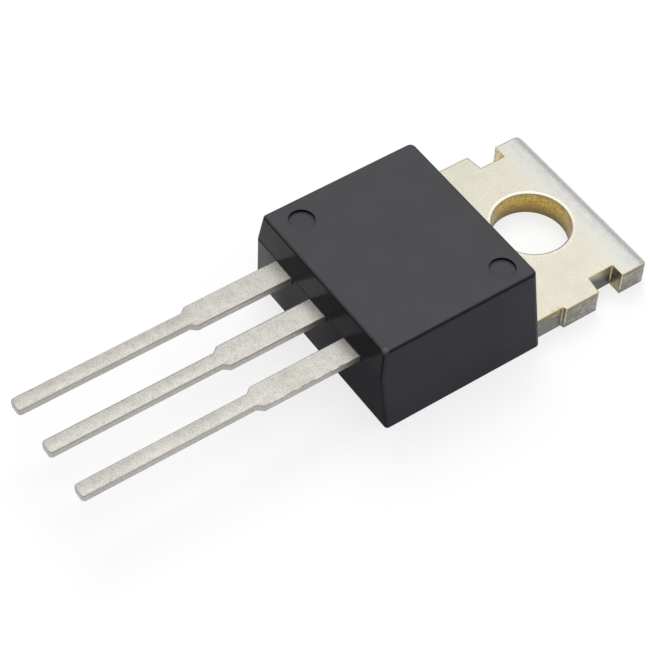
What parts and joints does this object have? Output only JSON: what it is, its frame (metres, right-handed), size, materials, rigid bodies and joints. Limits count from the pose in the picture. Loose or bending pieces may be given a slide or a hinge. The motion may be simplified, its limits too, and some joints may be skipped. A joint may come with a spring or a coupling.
{
  "type": "voltage regulator",
  "caption": "Linear voltage regulator in a flat moulded power case, with a drilled metal cooling tab and a row of straight flat leads, lying on its back face.",
  "frame": {"origin": "axis of the tab's screw hole, in the back face that is bolted to a heat sink", "axes": "+Y from the lead tips towards the tab's free end, +Z from the back face up to the moulded top, +X towards the output lead"},
  "size_m": [0.01, 0.0281, 0.0047],
  "materials": {
    "epoxy_case": "fine satin moulded epoxy",
    "tinned_copper_tab": "matte tin plate over copper alloy, bare at the sheared edges",
    "tinned_copper_lead": "matte tin plate over copper alloy",
    "solder": "dull soft solder",
    "silicon": "polished silicon",
    "aluminium_wire": "drawn aluminium wire"
  },
  "bodies": {
    "root": {"moulded_case": "epoxy_case", "heat_sink_tab": "tinned_copper_tab", "input_lead": "tinned_copper_lead", "output_lead": "tinned_copper_lead", "die_solder": "solder", "regulator_chip": "silicon", "input_bond_wire": "aluminium_wire", "output_bond_wire": "aluminium_wire", "ground_bond_wire": "aluminium_wire"}
  },
  "joints": []
}
